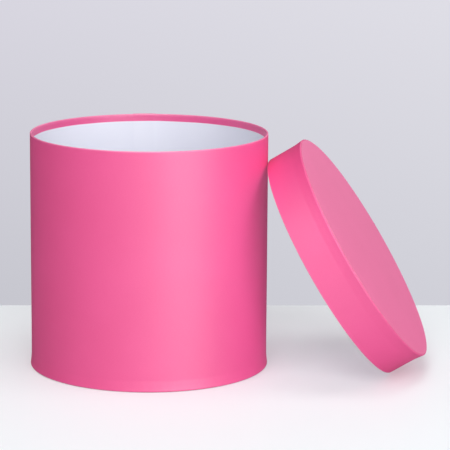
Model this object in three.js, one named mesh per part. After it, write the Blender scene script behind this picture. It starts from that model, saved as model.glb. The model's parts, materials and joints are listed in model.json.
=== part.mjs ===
// Round cardboard flower box with a lift-off lid that leans against its wall.
// Millimetres, +Z up. The origin is the centre of the box's underside, on the table.
// Box and lid are made the same way: a rolled board, a disc of board inside one end, a linen
// tape round that end's corner, coloured paper over everything and white paper inside.
import * as THREE from "three";

// Box.
const BOX_RADIUS = 100; // outside of the paper on the wall
const BOX_HEIGHT = 199; // table to rim

// Lid.
const LID_RADIUS = 103;
const LID_HEIGHT = 33.3;
const LEAN_UP = 31.56; // degrees, the closed top's normal above the horizontal
const LEAN_ROUND = -7.58; // degrees, the same normal round +Z from +X
const LID_CENTRE = [153.9, -9.3]; // centre of the open rim, seen from above

// Thicknesses.
const WRAP = 0.25; // coloured paper
const LINING = 0.25; // white paper
const COVER = 0.3; // coloured card on the closed end
const TAPE = 0.15; // creased linen tape round the closed end's corner
const JOINT_TAPE = 0.2; // kraft tape behind the board's butt joint
const WALL_BOARD = 1.1;
const DISC_BOARD = 1.85;
const GLUE = 0.05; // gap between two glued layers
const BUTT_GAP = 0.3; // gap in the butt joint of a rolled board

// The disc, pressed into the tube, spreads its closed end.
const SPREAD = 0.7; // how far out the end stands
const FLARE = 9; // height over which it comes back to the straight wall
const FLARE_STEPS = 3;

// Folds and edges.
const TURN_IN = 15; // paper turned over the open rim and down the inside
const PAPER_SHOWING = 6.2; // how much of it the lining leaves bare
const TRIM_CLEAR = 0.1; // trimmed corner of the paper to the white paper and the cover
const TURN_UNDER = 11; // paper turned over the closed end
const TAPE_UP = 5; // tape on the wall
const TAPE_UNDER = 9; // tape on the closed end
const DRAPE = 4.5; // height over which the paper comes off the tape to the wall
const DRAPE_CLEAR = 0.3; // height it stays out beyond the tape's edge
const EDGE_ROUND = 0.45; // rounded edge of a board
const COVER_INSET = 1.5; // cover's edge to the outside of the paper round it
const JOINT_TAPE_CLEAR = 1; // ends of the joint tape to the pieces above and below

// Seams.
const FACETS = 64; // the same round every shell, so that all layers share their corners
const FACET = (2 * Math.PI) / FACETS;
const SEAM = Math.PI / 2; // the seams are at the back
const LAP_FACETS = 2; // overlap of a paper's two ends
const LAP_LAYER = WRAP + GLUE; // how far the upper end stands off the lower one
const JOINT_TAPE_FACETS = 2;

const LOOKS = {
  pink: { color: 0xf5578f, roughness: 0.6, metalness: 0 },
  white: { color: 0xf3f2f4, roughness: 0.75, metalness: 0 },
  greyboard: { color: 0xa8a297, roughness: 0.9, metalness: 0 },
  linen: { color: 0xe9e2d2, roughness: 0.9, metalness: 0 },
  kraft: { color: 0xb88c58, roughness: 0.8, metalness: 0 },
};

function piece(name, look, geometry) {
  const mesh = new THREE.Mesh(geometry, new THREE.MeshStandardMaterial(LOOKS[look]));
  mesh.name = name;
  return mesh;
}

// Points [r, z] of an arc in a section, between two angles in degrees.
function arc(r, z, radius, from, to, pieces = 2) {
  return Array.from({ length: pieces + 1 }, (_, i) => {
    const a = THREE.MathUtils.degToRad(from + ((to - from) * i) / pieces);
    return [r + radius * Math.cos(a), z + radius * Math.sin(a)];
  });
}

// Outline of a sheet that follows a path in the section, half its thickness to each side.
function sheet(path, thickness) {
  const unit = ([r, z]) => [r / Math.hypot(r, z), z / Math.hypot(r, z)];
  const along = path.slice(1).map(([r, z], i) => unit([r - path[i][0], z - path[i][1]]));
  const side = (sign) =>
    path.map(([r, z], i) => {
      const before = along[Math.max(i - 1, 0)];
      const after = along[Math.min(i, along.length - 1)];
      const [dr, dz] = unit([before[0] + after[0], before[1] + after[1]]);
      const reach = (sign * thickness) / 2 / (dr * after[0] + dz * after[1]);
      return [r - dz * reach, z + dr * reach];
    });
  return [...side(1), ...side(-1).reverse()];
}

// Closed geometry from flat lists, with its faces turned outwards.
function solid(at, faces) {
  const corner = (i) => new THREE.Vector3().fromArray(at, 3 * i);
  let volume = 0;
  for (let i = 0; i < faces.length; i += 3) {
    const [a, b, c] = faces.slice(i, i + 3).map(corner);
    volume += a.dot(b.cross(c));
  }
  return new THREE.BufferGeometry()
    .setAttribute("position", new THREE.Float32BufferAttribute(at, 3))
    .setIndex(volume < 0 ? faces.reverse() : faces);
}

// A section taken round +Z from the seam on: outlineAt(j) is its outline at facet corner j.
// A full turn without a trim closes on itself, anything else gets two ends.
function roundAxis(outlineAt, { first = 0, facets = FACETS, trim = 0 } = {}) {
  const closed = facets === FACETS && trim === 0;
  const corners = closed ? facets : facets + 1;
  const size = outlineAt(0).length;
  const at = [];
  const faces = [];
  for (let j = 0; j < corners; j++) {
    const angle = SEAM + (first + j) * FACET - (j === facets ? trim : 0);
    for (const [r, z] of outlineAt(j)) at.push(r * Math.cos(angle), r * Math.sin(angle), z);
  }
  for (let j = 0; j < facets; j++) {
    const here = j * size;
    const next = ((j + 1) % corners) * size;
    for (let i = 0; i < size; i++) {
      const k = (i + 1) % size;
      faces.push(here + i, next + i, next + k, here + i, next + k, here + k);
    }
  }
  for (const j of closed ? [] : [0, facets]) {
    const outline = outlineAt(j).map((p) => new THREE.Vector2(...p));
    const reversed = THREE.ShapeUtils.isClockWise(outline) !== j > 0;
    for (const [a, b, c] of THREE.ShapeUtils.triangulateShape(outline, [])) {
      faces.push(...(reversed ? [c, b, a] : [a, b, c]).map((i) => j * size + i));
    }
  }
  return solid(at, faces);
}

function disc(radius, from, to) {
  return new THREE.CylinderGeometry(radius, radius, to - from, FACETS)
    .rotateX(Math.PI / 2)
    .translate(0, 0, (from + to) / 2);
}

// A shell of board and paper: closed end at z = 0, open rim at z = height.
function shell(radius, height, names) {
  // Stack of layers, from the outside in, on the wall and on the closed end.
  const wallOut = radius - WRAP - GLUE;
  const wallIn = wallOut - WALL_BOARD;
  const wallTop = height - WRAP - GLUE;
  const liningOut = wallIn - GLUE - WRAP - GLUE;
  const tapeFrom = COVER + GLUE + WRAP + GLUE;
  const boardFrom = tapeFrom + TAPE + GLUE;
  const boardTo = boardFrom + DISC_BOARD;
  const floor = boardTo + GLUE + LINING;
  const tapeEdge = boardFrom + TAPE_UP;
  const coverRadius = radius + SPREAD + GLUE + TAPE - COVER_INSET;
  // How far out the wall is at a height, and the bends that it makes there.
  const flareFrom = boardFrom + EDGE_ROUND;
  const spread = (z) =>
    SPREAD * THREE.MathUtils.clamp((flareFrom + FLARE - z) / FLARE, 0, 1) ** 2;
  const bends = (r) =>
    Array.from({ length: FLARE_STEPS }, (_, i) => {
      const z = flareFrom + (FLARE * (i + 1)) / FLARE_STEPS;
      return [r + spread(z), z];
    });
  // The board's rounded edges, which the tape and the paper follow at a distance.
  const closedCorner = [wallOut + SPREAD - EDGE_ROUND, flareFrom];
  const rimOut = [wallOut - EDGE_ROUND, wallTop - EDGE_ROUND];
  const rimIn = [wallIn + EDGE_ROUND, wallTop - EDGE_ROUND];

  const wall = [
    [wallIn + SPREAD, boardFrom],
    ...arc(...closedCorner, EDGE_ROUND, -90, 0),
    ...bends(wallOut),
    ...arc(...rimOut, EDGE_ROUND, 0, 90),
    ...arc(...rimIn, EDGE_ROUND, 90, 180),
    ...bends(wallIn).reverse(),
    [wallIn + SPREAD, flareFrom],
  ];

  const jointTapeRadius = wallIn - GLUE - JOINT_TAPE / 2;
  const jointTape = sheet([
    [jointTapeRadius, floor + JOINT_TAPE_CLEAR],
    [jointTapeRadius, wallTop - TURN_IN - JOINT_TAPE_CLEAR],
  ], JOINT_TAPE);

  const tapeOff = GLUE + TAPE / 2;
  const edgeTape = sheet([
    [wallOut + tapeOff + spread(tapeEdge), tapeEdge],
    ...bends(wallOut + tapeOff).filter(([, z]) => z < tapeEdge).reverse(),
    ...arc(...closedCorner, EDGE_ROUND + tapeOff, 0, -90),
    [wallOut - TAPE_UNDER, boardFrom - tapeOff],
  ], TAPE);

  // From inside the rim, over it, down the wall, over the tape and across the closed end.
  // Where its ends lap, the upper one has its corners trimmed off.
  const wrap = (lift, trimmed) => {
    const off = GLUE + WRAP / 2 + lift;
    const overTape = GLUE + TAPE + off;
    const drape = [0, 1 / 3, 2 / 3, 1].map((t) => {
      const z = tapeEdge + DRAPE_CLEAR + DRAPE * (1 - t);
      const over = THREE.MathUtils.lerp(off, overTape, THREE.MathUtils.smoothstep(t, 0, 1));
      return [wallOut + over + spread(z), z];
    });
    return sheet([
      [wallIn - off, trimmed ? height - PAPER_SHOWING + TRIM_CLEAR : wallTop - TURN_IN],
      ...arc(...rimIn, EDGE_ROUND + off, 180, 90),
      ...arc(...rimOut, EDGE_ROUND + off, 90, 0),
      ...drape,
      ...bends(wallOut + overTape).filter(([, z]) => z < tapeEdge).reverse(),
      ...arc(...closedCorner, EDGE_ROUND + overTape, 0, -90),
      [trimmed ? coverRadius + TRIM_CLEAR : wallOut - TURN_UNDER, boardFrom - overTape],
    ], WRAP);
  };

  const lining = (lift) => {
    const r = liningOut - LINING / 2 - lift;
    return sheet([[r, floor + GLUE], [r, height - PAPER_SHOWING]], LINING);
  };

  // A paper's last facets lie one layer off its first ones.
  const lapped = (outline) =>
    roundAxis((j) => outline(j < FACETS ? 0 : LAP_LAYER, j >= FACETS - 1),
      { facets: FACETS + LAP_FACETS });

  const group = new THREE.Group();
  group.add(
    piece(names.wall, "greyboard", roundAxis(() => wall, { trim: BUTT_GAP / wallOut })),
    piece(names.jointTape, "kraft",
      roundAxis(() => jointTape, { first: -JOINT_TAPE_FACETS / 2, facets: JOINT_TAPE_FACETS })),
    piece(names.disc, "greyboard", disc(wallIn + spread(boardTo) - GLUE, boardFrom, boardTo)),
    piece(names.edgeTape, "linen", roundAxis(() => edgeTape)),
    piece(names.wrap, "pink", lapped(wrap)),
    piece(names.cover, "pink", disc(coverRadius, 0, COVER)),
    piece(names.lining, "white", lapped(lining)),
    piece(names.discLining, "white", disc(liningOut, floor - LINING, floor)),
  );
  return group;
}

// The lid, turned from its making position to where it leans: its open rim faces the box and
// the table, and its seam stays at the back. The lowest point of the rim stands on the table.
function leaningLid() {
  const lid = shell(LID_RADIUS, LID_HEIGHT, {
    wall: "lid_band_board",
    jointTape: "lid_joint_tape",
    disc: "lid_disc_board",
    edgeTape: "lid_edge_tape",
    wrap: "lid_wrap",
    cover: "lid_top_cover",
    lining: "lid_band_lining",
    discLining: "lid_disc_lining",
  });
  const up = THREE.MathUtils.degToRad(LEAN_UP);
  const round = THREE.MathUtils.degToRad(LEAN_ROUND);
  const intoLid = new THREE.Vector3(-Math.cos(up) * Math.cos(round),
    -Math.cos(up) * Math.sin(round), -Math.sin(up));
  const back = new THREE.Vector3(-Math.sin(round), Math.cos(round), 0);
  const across = back.clone().cross(intoLid);
  lid.matrix.makeBasis(across, back, intoLid);
  lid.matrix.setPosition(LID_CENTRE[0] - LID_HEIGHT * intoLid.x,
    LID_CENTRE[1] - LID_HEIGHT * intoLid.y, 0);
  lid.matrix.decompose(lid.position, lid.quaternion, lid.scale);
  lid.position.z -= new THREE.Box3().setFromObject(lid, true).min.z;
  return lid;
}

const flowerBox = new THREE.Group();
flowerBox.add(
  shell(BOX_RADIUS, BOX_HEIGHT, {
    wall: "wall_board",
    jointTape: "wall_joint_tape",
    disc: "base_board",
    edgeTape: "base_edge_tape",
    wrap: "outer_wrap",
    cover: "base_cover",
    lining: "wall_lining",
    discLining: "base_lining",
  }),
  leaningLid(),
);

export default flowerBox;
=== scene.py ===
"""Pink round flower box with its lid off, leaning on the wall.

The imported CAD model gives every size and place. Box and lid are the same kind of shell: a rolled
board, a disc of board in the closed end, coloured paper outside and white paper inside. The visible
papers are rebuilt here as thin folded sheets, and the boards and tapes under them stay as packed.
Metres; each shell is made in its own frame (closed end at 0, open rim up) and then put in place.
"""
import json
import math

import bpy
import numpy as np
from mathutils import Matrix, Vector


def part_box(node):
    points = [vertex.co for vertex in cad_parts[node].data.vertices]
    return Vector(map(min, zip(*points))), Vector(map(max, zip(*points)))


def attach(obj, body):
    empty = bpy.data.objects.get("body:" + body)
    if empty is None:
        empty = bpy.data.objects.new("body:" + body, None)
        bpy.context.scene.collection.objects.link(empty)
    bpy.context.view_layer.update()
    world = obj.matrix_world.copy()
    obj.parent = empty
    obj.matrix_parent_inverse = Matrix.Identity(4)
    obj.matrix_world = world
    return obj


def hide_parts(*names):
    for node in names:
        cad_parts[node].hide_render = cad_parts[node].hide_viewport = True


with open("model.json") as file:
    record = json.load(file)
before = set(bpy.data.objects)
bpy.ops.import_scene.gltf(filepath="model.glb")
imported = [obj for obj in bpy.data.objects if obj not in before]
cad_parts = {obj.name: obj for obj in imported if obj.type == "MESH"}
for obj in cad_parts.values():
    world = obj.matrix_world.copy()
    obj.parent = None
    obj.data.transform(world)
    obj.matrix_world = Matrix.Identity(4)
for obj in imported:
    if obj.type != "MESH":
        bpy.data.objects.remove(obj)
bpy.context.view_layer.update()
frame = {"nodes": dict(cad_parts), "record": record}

MM = 0.001

# Papers.
PAPER = 0.25 * MM  # thickness of every paper
GLUE = 0.05 * MM
TURN_IN = 15 * MM  # coloured paper turned down inside the rim
EDGE_ROUND = 0.45 * MM  # rounding of the board under a fold
DRAPE = 4.5 * MM  # height over which the paper comes off the tape to the wall
FLARE = 9 * MM  # height over which the closed end of the wall spreads
TRIM_CLEAR = 0.1 * MM  # gap between the cover card and the lap's upper end, cut short of it
SEAM = math.pi / 2  # the papers' ends lap at the back
LAP = math.radians(10)
RAMP = math.radians(3)  # turn over which the upper end climbs onto the lower one
STATIONS = 480  # round a shell

# Unevenness. The outside only sinks, so that it stays within the CAD model's box.
PUCKER = 0.04 * MM  # of the glued paper
HAND_CUT = 0.12 * MM  # straying of the lining's upper edge
LIFT = 0.05 * MM  # slow waves of the lining off the wall, which fade out towards that edge
HOLLOW = 0.12 * MM  # sag in the middle of a cover card
DENT = 0.025 * MM  # between the pleats that show through the card near its edge
DRIFT = 0.03 * MM  # slow waves in the round pieces
CARD_EDGE = 0.06 * MM  # softening of their cut edges
WALL_TWIST = 12  # how far slow waves turn, in radians a metre: up the wall,
LINING_TWIST = 9  # up the lining,
DISC_TWIST = 30  # and outwards on the round linings

# Lightening, from 0 to 1, of the rim, the lower corner and a card's edge, and how far it reaches. At
# the corner and the card's edge it is rubbing; along the rim's fold it is rubbing and a painted
# highlight, much the strongest.
RIM_RUB_AND_HIGHLIGHT, RIM_RUB_AND_HIGHLIGHT_WIDTH = 0.8, 0.5 * MM
CORNER_RUB, CORNER_RUB_WIDTH = 0.12, 0.7 * MM
CARD_RUB, CARD_RUB_WIDTH = 0.3, MM


# ---------------------------------------------------------------- sizes from the CAD nodes

class Shell:
    """One shell's frame and sizes, measured from its CAD nodes."""

    def __init__(self, body, place, nodes):
        self.body, self.place, self.nodes = body, place, nodes
        wall, wrap, tape = self.points("wall"), self.points("wrap"), self.points("edge_tape")
        self.board_from, self.wall_top = wall[:, 1].min(), wall[:, 1].max()
        straight = wall[wall[:, 1] > (self.board_from + self.wall_top) / 2, 0]
        self.wall_in, self.wall_out = straight.min(), straight.max()
        self.spread = wall[:, 0].max() - self.wall_out  # of the board at its closed end
        self.tape_edge = tape[:, 1].max()
        self.tape_stack = self.board_from - tape[:, 1].min()  # tape and its glue
        self.under_end = wrap[wrap[:, 1] < self.board_from, 0].min()  # radius where the wrap ends
        self.cover_radius, self.cover_from, self.cover_to = self.extent("cover")
        self.lining_out, self.lining_from, self.lining_to = self.extent("lining")
        self.floor_radius, self.floor_from, self.floor_to = self.extent("disc_lining")

    def points(self, piece):
        """Every corner of a CAD node as [distance from the shell's axis, place along it]."""
        into = self.place.inverted()
        at = np.array([into @ v.co for v in frame["nodes"][self.nodes[piece]].data.vertices])
        return np.stack([np.hypot(at[:, 0], at[:, 1]), at[:, 2]], 1)

    def extent(self, piece):
        """A CAD node's outer radius, and its two ends along the axis."""
        points = self.points(piece)
        return points[:, 0].max(), points[:, 1].min(), points[:, 1].max()


def centre(node):
    low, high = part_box(node)
    return (low + high) / 2


def lid_place():
    """The lid's frame: its axis runs through the centres of two of its discs, seam at the back."""
    cover, lining = centre("lid_top_cover"), centre("lid_disc_lining")
    into = (lining - cover).normalized()
    back = into.cross(Vector((0, 0, 1))).normalized()
    across = back.cross(into)
    turn = Matrix((across, back, into)).transposed()
    reach = [v.co.dot(into) for v in frame["nodes"]["lid_top_cover"].data.vertices]
    start = cover + into * (min(reach) - cover.dot(into))
    return Matrix.Translation(start) @ turn.to_4x4()


BOX = Shell("box", Matrix.Identity(4), {
    "wall": "wall_board", "wrap": "outer_wrap", "edge_tape": "base_edge_tape",
    "cover": "base_cover", "lining": "wall_lining", "disc_lining": "base_lining"})
LID = Shell("lid", lid_place(), {
    "wall": "lid_band_board", "wrap": "lid_wrap", "edge_tape": "lid_edge_tape",
    "cover": "lid_top_cover", "lining": "lid_band_lining", "disc_lining": "lid_disc_lining"})


# ---------------------------------------------------------------- mesh tools

def smooth(t):
    t = np.clip(t, 0, 1)
    return t * t * (3 - 2 * t)


def waves(seed, count, slowest, fastest):
    """A smooth random function of the angle that closes on itself, about -1 to 1.

    It is a sum of waves, each with a whole number of turns between slowest and fastest."""
    draw = np.random.RandomState(seed)
    turns = draw.randint(slowest, fastest + 1, count)
    phase = draw.uniform(0, 2 * math.pi, count)
    size = draw.uniform(0.4, 1, count)

    def at(angle):
        total = sum(s * np.sin(n * angle + p) for s, n, p in zip(size, turns, phase))
        return total / size.sum() * 1.6  # the waves never all peak together
    return at


def arc(r, z, radius, start, end, pieces):
    """Points on an arc about [r, z], from one angle to another in degrees."""
    angles = np.radians(np.linspace(start, end, pieces + 1))
    return np.stack([r + radius * np.cos(angles), z + radius * np.sin(angles)], 1)


def line(start, end, pieces):
    return np.linspace(start, end, pieces + 1)


def joined(*stretches):
    """Stretches of a path end to end, without double points."""
    points = [stretches[0]]
    for stretch in stretches[1:]:
        points.append(stretch[1:] if np.allclose(points[-1][-1], stretch[0], atol=1e-7) else stretch)
    return np.concatenate(points)


def normals(path):
    """Unit vectors to the left of a path of [r, z] points."""
    along = np.gradient(path, axis=0)
    along /= np.linalg.norm(along, axis=1)[:, None]
    return np.stack([-along[:, 1], along[:, 0]], 1)


def lengths(path):
    """How far along a path each of its points is."""
    return np.concatenate([[0], np.cumsum(np.linalg.norm(np.diff(path, axis=0), axis=1))])


def finish_mesh(name, points, faces, place, materials, edge_faces, attributes):
    """A smooth-shaded object with its sharp edges kept, moved from the shell's frame to its place.

    The edge faces get the last material, and the others get the first."""
    mesh = bpy.data.meshes.new(name)
    mesh.from_pydata([place @ Vector(p) for p in points], [], faces)
    for material in materials:
        mesh.materials.append(material)
    index = np.zeros(len(faces), int)
    index[list(edge_faces)] = len(materials) - 1
    mesh.polygons.foreach_set("material_index", index)
    mesh.polygons.foreach_set("use_smooth", np.ones(len(faces), bool))
    for attribute, values in attributes.items():
        kind = "FLOAT_VECTOR" if values.ndim == 2 else "FLOAT"
        layer = mesh.attributes.new(attribute, kind, "POINT")
        layer.data.foreach_set("vector" if values.ndim == 2 else "value", values.ravel())
    mesh.update()
    mesh.set_sharp_from_angle(angle=math.radians(40))
    piece = bpy.data.objects.new(name, mesh)
    bpy.context.scene.collection.objects.link(piece)
    return piece


def sheet(name, shell, path_at, thickness, angles, materials, wear_and_highlight=None):
    """A sheet of paper taken round the shell's axis: path_at(j) is its middle line at station j.

    The attribute `paper` is the place on the flat sheet in metres (around, along), and the other
    attribute is how much the paper is lightened there, by rubbing and by a painted highlight, from 0
    to 1."""
    stations, points, flat, worn = len(angles), [], [], []
    for j, angle in enumerate(angles):
        path = path_at(j)
        off = normals(path) * thickness / 2
        along = lengths(path)
        count = len(path)
        for side in (path + off, (path - off)[::-1]):
            points.append(np.stack([side[:, 0] * math.cos(angle), side[:, 0] * math.sin(angle),
                                    side[:, 1]], 1))
        around = np.full(count, angle * shell.wall_out)
        on_sheet = np.stack([around, along, np.zeros(count)], 1)
        flat += [on_sheet, on_sheet[::-1]]
        rub = wear_and_highlight(path) if wear_and_highlight else np.zeros(count)
        worn += [rub, rub[::-1]]
    size = 2 * count
    faces, edge_faces = [], []
    for j in range(stations - 1):  # from each station to the next
        here, there = j * size, (j + 1) * size
        for i in range(size):
            k = (i + 1) % size
            if i in (count - 1, size - 1):
                edge_faces.append(len(faces))
            faces.append((here + i, here + k, there + k, there + i))
    for j, flip in ((0, False), (stations - 1, True)):  # the sheet's two ends
        for i in range(count - 1):
            quad = [j * size + n for n in (i, size - 1 - i, size - 2 - i, i + 1)]
            edge_faces.append(len(faces))
            faces.append(tuple(reversed(quad)) if flip else tuple(quad))
    return finish_mesh(name, np.concatenate(points), faces, shell.place, materials, edge_faces,
                       {"paper": np.concatenate(flat), "wear_and_highlight": np.concatenate(worn)})


def lapped_angles():
    """Stations from the seam once round and over the lap, and how far the upper end has climbed."""
    turn = np.linspace(0, 2 * math.pi + LAP, round(STATIONS * (1 + LAP / (2 * math.pi))) + 1)
    return SEAM + turn, smooth((turn - 2 * math.pi + RAMP) / RAMP)


# ---------------------------------------------------------------- pieces

def make_wrap(name, shell, materials, seed):
    """Coloured paper: up the inside of the rim, over it, down the wall, over the tape, under."""
    angles, climb = lapped_angles()
    pleats = waves(seed, 9, 70, 130)
    creases = waves(seed + 1, 7, 40, 90)
    swing = waves(seed + 2, 5, 2, 7)
    rim_out = (shell.wall_out - EDGE_ROUND, shell.wall_top - EDGE_ROUND)
    rim_in = (shell.wall_in + EDGE_ROUND, shell.wall_top - EDGE_ROUND)
    corner = (shell.wall_out + shell.spread - EDGE_ROUND, shell.board_from + EDGE_ROUND)
    drape_top = shell.tape_edge + DRAPE
    flare_top = corner[1] + FLARE
    short_steps_end = rim_out[1] - 4 * MM  # below the rim's fold

    def path_at(j):
        angle = angles[j]
        off = GLUE + PAPER / 2 + climb[j] * (PAPER + GLUE)  # from the board to the paper's middle
        wall = shell.wall_out + off
        trimmed = TURN_IN - shell.wall_top + shell.lining_to  # the lap's end is cut at the lining
        turn_in_end = shell.wall_top - TURN_IN + climb[j] * trimmed
        under_end = shell.under_end + climb[j] * (shell.cover_radius + TRIM_CLEAR - shell.under_end)
        low = np.linspace(drape_top, corner[1], 28)
        flare = shell.spread * np.clip((flare_top - low) / FLARE, 0, 1) ** 2
        over_tape = shell.tape_stack * smooth((drape_top - low) / DRAPE)
        turn = EDGE_ROUND + shell.tape_stack + off
        path = joined(
            line((shell.wall_in - off, turn_in_end), (shell.wall_in - off, rim_in[1]), 8),
            arc(*rim_in, EDGE_ROUND + off, 180, 90, 5),
            arc(*rim_out, EDGE_ROUND + off, 90, 0, 5),
            line((wall, rim_out[1]), (wall, short_steps_end), 8),
            line((wall, short_steps_end), (wall, drape_top), 16),
            np.stack([wall + flare + over_tape, low], 1),
            arc(*corner, turn, 0, -90, 7),
            line((corner[0], corner[1] - turn), (under_end, corner[1] - turn), 4))
        r, z = path[:, 0], path[:, 1]
        inside = smooth((shell.wall_in + 0.3 * MM - r) / (0.3 * MM)) * smooth((z - turn_in_end) / MM)
        near_tape = smooth((drape_top + MM - z) / (DRAPE + MM)) * smooth((r - shell.wall_in) / MM)
        on_wall = smooth((r - shell.wall_out) / (0.1 * MM)) * smooth((z - flare_top) / (5 * MM))
        sink = (PUCKER * (1 + creases(angle)) * inside * smooth((rim_in[1] - MM - z) / MM)
                + PUCKER * (2 + pleats(angle)) * near_tape
                + PUCKER * (1 + swing(angle + z * WALL_TWIST)) * on_wall)
        return path - normals(path) * sink[:, None]

    def wear_and_highlight(path):
        r, z = path[:, 0], path[:, 1]
        # along the rim's fold: rubbing and a painted highlight
        on_rim = RIM_RUB_AND_HIGHLIGHT * np.exp(-((z - shell.wall_top) / RIM_RUB_AND_HIGHLIGHT_WIDTH) ** 2)
        on_corner = CORNER_RUB * np.exp(-((z - shell.board_from) / CORNER_RUB_WIDTH) ** 2)
        return on_rim + on_corner * smooth((r - shell.wall_in) / MM)

    piece = sheet(name, shell, path_at, PAPER, angles, materials, wear_and_highlight)
    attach(piece, shell.body)
    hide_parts(shell.nodes["wrap"])


def make_lining(name, shell, materials, seed):
    """White paper on the inside of the wall, its ends lapped inwards, its upper edge cut by hand."""
    angles, climb = lapped_angles()
    cut = waves(seed, 6, 3, 17)
    swing = waves(seed + 1, 5, 2, 8)

    def path_at(j):
        angle = angles[j]
        r = shell.lining_out - PAPER / 2 - climb[j] * (PAPER + GLUE)
        top = shell.lining_to + HAND_CUT * cut(angle)
        path = line((r, shell.lining_from), (r, top), 24)
        z = path[:, 1]
        lift = LIFT * swing(angle + z * LINING_TWIST) * smooth((top - z) / (12 * MM))
        path[:, 0] -= np.abs(lift)
        return path

    piece = sheet(name, shell, path_at, PAPER, angles, materials)
    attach(piece, shell.body)
    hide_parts(shell.nodes["lining"])


def make_disc(name, shell, radius, faces_at, materials, node):
    """A round card: rings of points on both faces, the outer one rounded off, and a cut edge.

    faces_at(r, angle) gives the heights of its two faces, the outer one first. The rings lie closer
    together near the edge."""
    rings = np.concatenate([np.linspace(0.02, 0.86, 15), np.linspace(0.88, 1, 13)]) * radius
    rings[-1] -= CARD_EDGE
    angles = np.linspace(0, 2 * math.pi, STATIONS, endpoint=False)
    points, worn, faces, edge_faces = [], [], [], []

    def ring(r, z):
        points.append(np.stack([r * np.cos(angles), r * np.sin(angles),
                                np.broadcast_to(z, angles.shape)], 1))
        rub = CARD_RUB * math.exp(-((radius - r) / CARD_RUB_WIDTH) ** 2)
        worn.append(np.full(STATIONS, rub))

    for r in rings:
        ring(r, faces_at(r, angles)[0])
    ring(radius, faces_at(radius, angles)[0] + CARD_EDGE)
    ring(radius, faces_at(radius, angles)[1] - CARD_EDGE)
    for r in rings[::-1]:
        ring(r, faces_at(r, angles)[1])
    for k in range(len(points) - 1):
        here, there = k * STATIONS, (k + 1) * STATIONS
        for i in range(STATIONS):
            n = (i + 1) % STATIONS
            if k == len(rings):
                edge_faces.append(len(faces))
            faces.append((here + i, here + n, there + n, there + i))
    for side, start in ((0, 0), (1, (len(points) - 1) * STATIONS)):
        hub = sum(len(p) for p in points)
        fan = [(hub, start + i, start + (i + 1) % STATIONS) for i in range(STATIONS)]
        faces += [tuple(reversed(f)) for f in fan] if side == 0 else fan
        points.append(np.array([[0, 0, np.ravel(faces_at(0, np.zeros(1))[side])[0]]]))
        worn.append(np.zeros(1))
    piece = finish_mesh(name, np.concatenate(points), faces, shell.place, materials, edge_faces,
                        {"paper": np.concatenate(points), "wear_and_highlight": np.concatenate(worn)})
    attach(piece, shell.body)
    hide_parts(node)


def make_cover(name, shell, materials, seed):
    """Coloured card on the closed end. The pleats of the paper under it show near its edge."""
    pleats = waves(seed, 9, 50, 110)
    swell = waves(seed + 1, 4, 2, 5)

    def faces_at(r, angle):
        over_pleats = smooth((r - shell.under_end + 2 * MM) / (8 * MM))
        hollow = HOLLOW * (1 - (r / shell.cover_radius) ** 2)
        dents = DENT * (1 - pleats(angle)) * over_pleats
        drift = DRIFT * (1 + swell(angle)) * r / shell.cover_radius
        return shell.cover_from + hollow + dents + drift, shell.cover_to

    make_disc(name, shell, shell.cover_radius, faces_at, materials, shell.nodes["cover"])


def make_disc_lining(name, shell, materials, seed):
    """White paper disc on the inside of the closed end, not quite flat."""
    swell = waves(seed, 4, 2, 6)

    def faces_at(r, angle):
        drift = DRIFT * (1 + swell(angle + DISC_TWIST * r)) * r / shell.floor_radius
        return shell.floor_from, shell.floor_to - drift

    make_disc(name, shell, shell.floor_radius, faces_at, materials, shell.nodes["disc_lining"])


# ---------------------------------------------------------------- materials

class Nodes:
    """A material's node tree, with short calls to add nodes and link them."""

    def __init__(self, name):
        self.material = bpy.data.materials.new(name)
        self.material.use_nodes = True
        self.tree = self.material.node_tree
        self.shader = self.tree.nodes["Principled BSDF"]

    def add(self, kind, settings=None, **inputs):
        node = self.tree.nodes.new("ShaderNode" + kind)
        for key, value in (settings or {}).items():
            setattr(node, key, value)
        for key, value in inputs.items():
            self.set(node, key.replace("_", " "), value)
        return node

    def set(self, node, key, value):
        """Link a socket to an input, or give the input a constant."""
        socket = node.inputs[key]
        if isinstance(value, bpy.types.NodeSocket):
            self.tree.links.new(value, socket)
        else:
            socket.default_value = value

    def shade(self, **inputs):
        """Set inputs of the material's shader."""
        for key, value in inputs.items():
            self.set(self.shader, key.replace("_", " "), value)

    def place(self, attribute=None, scale=(1, 1, 1)):
        """The point on the flat sheet, or in the piece's own space, stretched by a scale."""
        if attribute:
            source = self.add("Attribute", {"attribute_name": attribute}).outputs["Vector"]
        else:
            source = self.add("TexCoord").outputs["Object"]
        return self.add("Mapping", Vector=source, Scale=scale).outputs["Vector"]

    def noise(self, vector, scale, detail, roughness):
        return self.add("TexNoise", Vector=vector, Scale=scale, Detail=detail,
                        Roughness=roughness).outputs["Fac"]

    def spread(self, value, low, high, to_low=0.0, to_high=1.0):
        """Map a stretch of a value onto another stretch."""
        node = self.add("MapRange", {"clamp": True}, Value=value)
        for key, number in (("From Min", low), ("From Max", high), ("To Min", to_low),
                            ("To Max", to_high)):
            self.set(node, key, number)
        return node.outputs["Result"]

    def mix(self, factor, a, b):
        """Colour a turning into colour b as the factor goes from 0 to 1."""
        node = self.add("Mix", {"data_type": "RGBA"})
        for key, value in ((0, factor), (6, a), (7, b)):  # the colour mode's own inputs
            self.set(node, key, value)
        return node.outputs[2]

    def times(self, a, b):
        node = self.add("Math", {"operation": "MULTIPLY"})
        for key, value in enumerate((a, b)):
            self.set(node, key, value)
        return node.outputs[0]

    def bump(self, height, depth, under=None):
        """Relief of a depth in metres, on top of another relief if one is given."""
        node = self.add("Bump", Height=height, Distance=depth, Strength=1.0)
        if under:
            self.set(node, "Normal", under)
        return node.outputs["Normal"]


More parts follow.
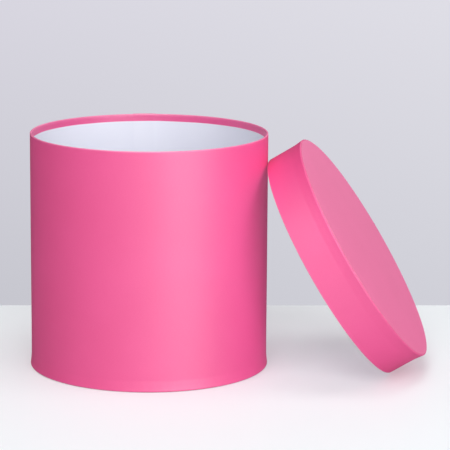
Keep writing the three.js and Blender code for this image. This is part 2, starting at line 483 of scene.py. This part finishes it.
def rgb(red, green, blue):
    """A colour from its display values, 0 to 255, to the linear ones that a shader takes."""
    def linear(value):
        value /= 255
        return value / 12.92 if value <= 0.04045 else ((value + 0.055) / 1.055) ** 2.4
    return (linear(red), linear(green), linear(blue), 1.0)


# the colour of rubbed pink paper, also the colour of the rim's painted highlight
RUBBED_AND_HIGHLIGHT_PINK = rgb(250, 150, 190)
SATIN_IOR = 1.8
FINE_TOOTH = 0.02 * MM
COARSE_TOOTH = 0.03 * MM


def paper(name, colour, mottle, rubbed_and_lit, roughness, tooth):
    """Paper: cloudy colour, fibres that lie round the sheet, a fine tooth, and lightened folds.

    The colour drifts to the mottle colour and lightens to the rubbed one where the paper is rubbed
    and where a highlight is painted in. The tooth is the depth of the grain in metres."""
    n = Nodes(name)
    sheet_place = n.place("paper")
    fibres = n.noise(n.place("paper", (0.22, 1, 1)), 2600, 4, 0.6)
    grain = n.noise(sheet_place, 3200, 2, 0.5)
    clouds = n.noise(sheet_place, 22, 3, 0.5)
    base = n.mix(n.spread(clouds, 0.3, 0.7), colour, mottle)
    base = n.mix(n.times(n.spread(fibres, 0.35, 0.75), 0.10), base, rubbed_and_lit)
    # rubbing, and the painted highlight along the rim's fold, both lighten the paper towards the
    # rubbed colour
    wear_and_highlight = n.add("Attribute", {"attribute_name": "wear_and_highlight"}).outputs["Fac"]
    patches = n.spread(n.noise(sheet_place, 240, 4, 0.7), 0.3, 0.7, 0.35, 0.75)
    base = n.mix(n.times(wear_and_highlight, patches), base, rubbed_and_lit)
    relief = n.bump(n.mix(0.5, fibres, grain), tooth)
    relief = n.bump(clouds, 0.05 * MM, relief)
    n.shade(Base_Color=base, Normal=relief,
            Roughness=n.spread(grain, 0.3, 0.7, roughness - 0.05, roughness + 0.05))
    return n


def pink_paper():
    """Strongly coloured wrapping paper with a satin sheen."""
    n = paper("pink_paper", rgb(236, 53, 136), rgb(233, 49, 132), RUBBED_AND_HIGHLIGHT_PINK, 0.55, FINE_TOOTH)
    n.shade(IOR=SATIN_IOR, Specular_IOR_Level=0.95)
    return n.material


def pink_card():
    """The cover cards' paper: the same kind, a little paler and smoother.

    The paleness is a painted reflection of the pale wall, which the lid's top shows at a low angle.
    """
    n = paper("pink_card", rgb(240, 80, 149), rgb(237, 76, 145), RUBBED_AND_HIGHLIGHT_PINK, 0.5, FINE_TOOTH)
    n.shade(IOR=SATIN_IOR, Specular_IOR_Level=1.0)
    return n.material


def paper_core():
    """The cut edge of the coloured paper, paler than its face."""
    n = paper("pink_paper_cut_edge", rgb(246, 160, 196), rgb(243, 140, 182), rgb(252, 225, 236), 0.8,
              COARSE_TOOTH)
    return n.material


def white_paper():
    """Uncoated lining paper, faintly blue."""
    n = paper("white_paper", rgb(234, 236, 246), rgb(231, 233, 244), rgb(248, 249, 252), 0.7,
              FINE_TOOTH)
    return n.material


def greyboard():
    """Raw board of recycled fibre: grey, with dark and light specks."""
    n = Nodes("greyboard")
    place = n.place()
    clouds = n.noise(place, 60, 4, 0.6)
    specks = n.noise(place, 1400, 2, 0.7)
    base = n.mix(n.spread(clouds, 0.3, 0.7), rgb(172, 166, 153), rgb(156, 150, 138))
    base = n.mix(n.spread(specks, 0.66, 0.72), base, rgb(96, 88, 78))
    base = n.mix(n.spread(specks, 0.34, 0.28), base, rgb(205, 200, 190))
    n.shade(Base_Color=base, Roughness=n.spread(clouds, 0.3, 0.7, 0.85, 0.95),
            Normal=n.bump(specks, 0.05 * MM))
    return n.material


def kraft_tape():
    """Gummed brown tape: long fibres and a slight gloss."""
    n = Nodes("kraft_tape")
    fibres = n.noise(n.place(scale=(1, 1, 0.1)), 1800, 4, 0.65)
    base = n.mix(n.spread(fibres, 0.3, 0.7), rgb(176, 128, 78), rgb(196, 150, 100))
    n.shade(Base_Color=base, Roughness=n.spread(fibres, 0.3, 0.7, 0.6, 0.75),
            Normal=n.bump(fibres, 0.03 * MM))
    return n.material


def linen_tape():
    """Woven tape: two sets of threads crossing, off-white."""
    n = Nodes("linen_tape")
    place = n.place()
    threads = []
    for axis in ("X", "Z"):
        wave = n.add("TexWave", {"wave_type": "BANDS", "bands_direction": axis}, Vector=place,
                     Scale=420.0, Distortion=0.6, Detail=1.0)
        threads.append(wave.outputs["Fac"])
    weave = n.mix(0.5, threads[0], threads[1])
    base = n.mix(n.spread(weave, 0.2, 0.8), rgb(206, 198, 180), rgb(238, 232, 218))
    n.shade(Base_Color=base, Roughness=n.spread(weave, 0.2, 0.8, 0.8, 0.95),
            Normal=n.bump(weave, 0.1 * MM))
    return n.material


# ---------------------------------------------------------------- room, lights and camera

TABLE_EDGE = 0.21  # the table's back edge behind the box
TABLE_YAW = math.radians(1.7)
TABLE_REACH = 3.0  # to either side, and to the front
TABLE_GLOW = 0.3  # its own light, which softens the shadows on it
LOW_FLOOR = -1.0  # height of the floor between table and wall
ROOM_FRONT = -4.0
WALL_Y = 3.5
WALL_REACH = 5.0  # of wall and low floor, to either side
WALL_TOP = 3.0
WALL_GLOW = 1.01
WALL_SHADE_Z = (-0.76, -0.06)  # heights between which it goes from its lower to its upper shade
WALL_SHADE_X = (-0.45, 0.57)  # and places between which it goes from its left to its right shade
GLARE_FROM = 0.3  # the paper's gloss shows the wall above the table to the right of this only
SLAB = 0.02  # thickness of the table, floor and walls

LIGHT_AIM = Vector((0.06, 0, 0.1))  # about the middle of the object
LIGHT_DISTANCE = 2.5
LIGHT_HEIGHT = 1.1
LIGHTS = (  # name, degrees round to the right from the camera's side, degrees up, width, watts
    ("key", 34, 8, 1.5, 31),
    ("front_high", 0, 35, 1.1, 21),
    ("top", 0, 85, 1.1, 13),
    ("left_high", -30, 50, 1.1, 12),
    ("right_high", 85, 45, 1.1, 7),
)
WORLD_STRENGTH = 0.32

CAMERA_AT = Vector((0.0641, -2.0063, 0.5237))
CAMERA_LENS = 193.6  # on a sensor 36 wide
CAMERA_PITCH = 0.1987  # looking down
CAMERA_ROLL = 0.0069


def plain(name, colour, roughness, glow=(0, 0, 0, 1), strength=0.0):
    """A plain stage finish, which can glow a little."""
    n = Nodes(name)
    n.shade(Base_Color=colour, Roughness=roughness, Specular_IOR_Level=0.2, Emission_Color=glow,
            Emission_Strength=strength)
    return n.material


def glowing_wall():
    """A backdrop that glows rather than being lit, its glow painted darker towards its foot and a
    little darker to the left.
    """
    n = Nodes("wall_glow_painted_shade")
    at = n.add("SeparateXYZ", Vector=n.place())
    rise = n.spread(at.outputs["Z"], *WALL_SHADE_Z)
    across = n.spread(at.outputs["X"], *WALL_SHADE_X)
    upper = n.mix(across, rgb(214, 212, 222), rgb(221, 220, 228))
    lower = n.mix(across, rgb(197, 197, 205), rgb(206, 206, 214))
    n.shade(Base_Color=rgb(30, 30, 32), Roughness=0.9, Specular_IOR_Level=0.0,
            Emission_Color=n.mix(rise, lower, upper), Emission_Strength=WALL_GLOW)
    return n.material


def slab(name, corners, material):
    """A flat stage piece with four corners, given anticlockwise as seen from its face."""
    face = [Vector(c) for c in corners]
    normal = (face[1] - face[0]).cross(face[2] - face[1]).normalized()
    points = face + [c - normal * SLAB for c in face]
    sides = [(i, i + 4, (i + 1) % 4 + 4, (i + 1) % 4) for i in range(4)]
    faces = [(0, 1, 2, 3), (7, 6, 5, 4)] + sides
    mesh = bpy.data.meshes.new(name)
    mesh.from_pydata(points, [], faces)
    mesh.materials.append(material)
    piece = bpy.data.objects.new(name, mesh)
    bpy.context.scene.collection.objects.link(piece)
    return piece


def wall_panel(name, left, right, low, high, material):
    return slab(name, [(left, WALL_Y, low), (right, WALL_Y, low), (right, WALL_Y, high),
                       (left, WALL_Y, high)], material)


def make_room():
    """A white table, and a low floor and a glowing wall with painted shade well behind it."""
    # the table glows with painted light that softens its shadows, and both its colours lean cool to
    # offset the pink light the paper throws on it
    white = plain("table_white", rgb(206, 210, 212), 0.6, rgb(241, 246, 248), TABLE_GLOW)
    floor = plain("low_floor", rgb(235, 235, 242), 0.9)
    skew = TABLE_REACH * math.tan(TABLE_YAW)
    table = slab("table", [(-TABLE_REACH, -TABLE_REACH, 0), (TABLE_REACH, -TABLE_REACH, 0),
                           (TABLE_REACH, TABLE_EDGE + skew, 0),
                           (-TABLE_REACH, TABLE_EDGE - skew, 0)], white)
    glow = glowing_wall()
    wall = wall_panel("wall", -WALL_REACH, WALL_REACH, LOW_FLOOR, 0, glow)
    upper_left = wall_panel("upper_left_wall", -WALL_REACH, GLARE_FROM, 0, WALL_TOP, glow)
    wall_panel("upper_right_wall", GLARE_FROM, WALL_REACH, 0, WALL_TOP, glow)
    below = slab("low_floor", [(-WALL_REACH, ROOM_FRONT, LOW_FLOOR),
                               (WALL_REACH, ROOM_FRONT, LOW_FLOOR),
                               (WALL_REACH, WALL_Y, LOW_FLOOR),
                               (-WALL_REACH, WALL_Y, LOW_FLOOR)], floor)
    for piece in (table, below, wall, upper_left):
        piece.visible_glossy = False  # keeps their glare off the paper


def area_light(name, at, towards, width, height, power):
    data = bpy.data.lights.new(name, "AREA")
    data.shape = "RECTANGLE"
    data.size, data.size_y = width, height
    data.energy = power
    lamp = bpy.data.objects.new(name, data)
    lamp.location = at
    lamp.rotation_mode = "QUATERNION"
    lamp.rotation_quaternion = (towards - at).to_track_quat("-Z", "Y")
    bpy.context.scene.collection.objects.link(lamp)


def make_lights():
    """Soft boxes, all at one distance, and an even light from everywhere that gloss doesn't show."""
    for name, around, above, width, power in LIGHTS:
        turn, rise = math.radians(around), math.radians(above)
        away = Vector((math.sin(turn) * math.cos(rise), -math.cos(turn) * math.cos(rise),
                       math.sin(rise)))
        area_light(name, LIGHT_AIM + away * LIGHT_DISTANCE, LIGHT_AIM, width, LIGHT_HEIGHT, power)
    world = bpy.data.worlds.new("studio")
    world.use_nodes = True
    background = world.node_tree.nodes["Background"]
    background.inputs["Color"].default_value = (1, 1, 1, 1)
    background.inputs["Strength"].default_value = WORLD_STRENGTH
    world.cycles_visibility.glossy = False
    bpy.context.scene.world = world


def make_camera():
    """The photograph's view: a long lens, 2 m away and half a metre up, looking down and tilted."""
    data = bpy.data.cameras.new("camera")
    data.sensor_width = 36
    data.lens = CAMERA_LENS
    data.clip_end = 20
    camera = bpy.data.objects.new("camera", data)
    right = Vector((1, 0, 0))
    forward = Vector((0, math.cos(CAMERA_PITCH), -math.sin(CAMERA_PITCH)))
    up = right.cross(forward)
    x = right * math.cos(CAMERA_ROLL) + up * math.sin(CAMERA_ROLL)
    y = up * math.cos(CAMERA_ROLL) - right * math.sin(CAMERA_ROLL)
    turn = Matrix((x, y, -forward)).transposed()
    camera.matrix_world = Matrix.Translation(CAMERA_AT) @ turn.to_4x4()
    bpy.context.scene.collection.objects.link(camera)
    bpy.context.scene.camera = camera


# ---------------------------------------------------------------- the scene

def dress_cad_nodes():
    """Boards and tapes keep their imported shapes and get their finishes."""
    finishes = {"greyboard": greyboard(), "kraft_tape": kraft_tape(), "linen_tape": linen_tape()}
    for part in frame["record"]["subparts"]:
        finish = finishes.get(part["material_slot"])
        if finish:
            data = frame["nodes"][part["node"]].data
            data.materials.clear()
            data.materials.append(finish)


def main():
    """Build everything."""
    bpy.context.scene.view_settings.view_transform = "Standard"
    make_camera()
    make_room()
    make_lights()
    dress_cad_nodes()
    pink, card, core, white = pink_paper(), pink_card(), paper_core(), white_paper()
    for prefix, shell, seed in (("box", BOX, 0), ("lid", LID, 10)):
        make_wrap(prefix + "_wrap_paper", shell, [pink, core], seed + 1)
        make_cover(prefix + "_cover_card", shell, [card, core], seed + 4)
        make_lining(prefix + "_lining_paper", shell, [white], seed + 6)
        make_disc_lining(prefix + "_disc_lining_paper", shell, [white], seed + 8)


main()
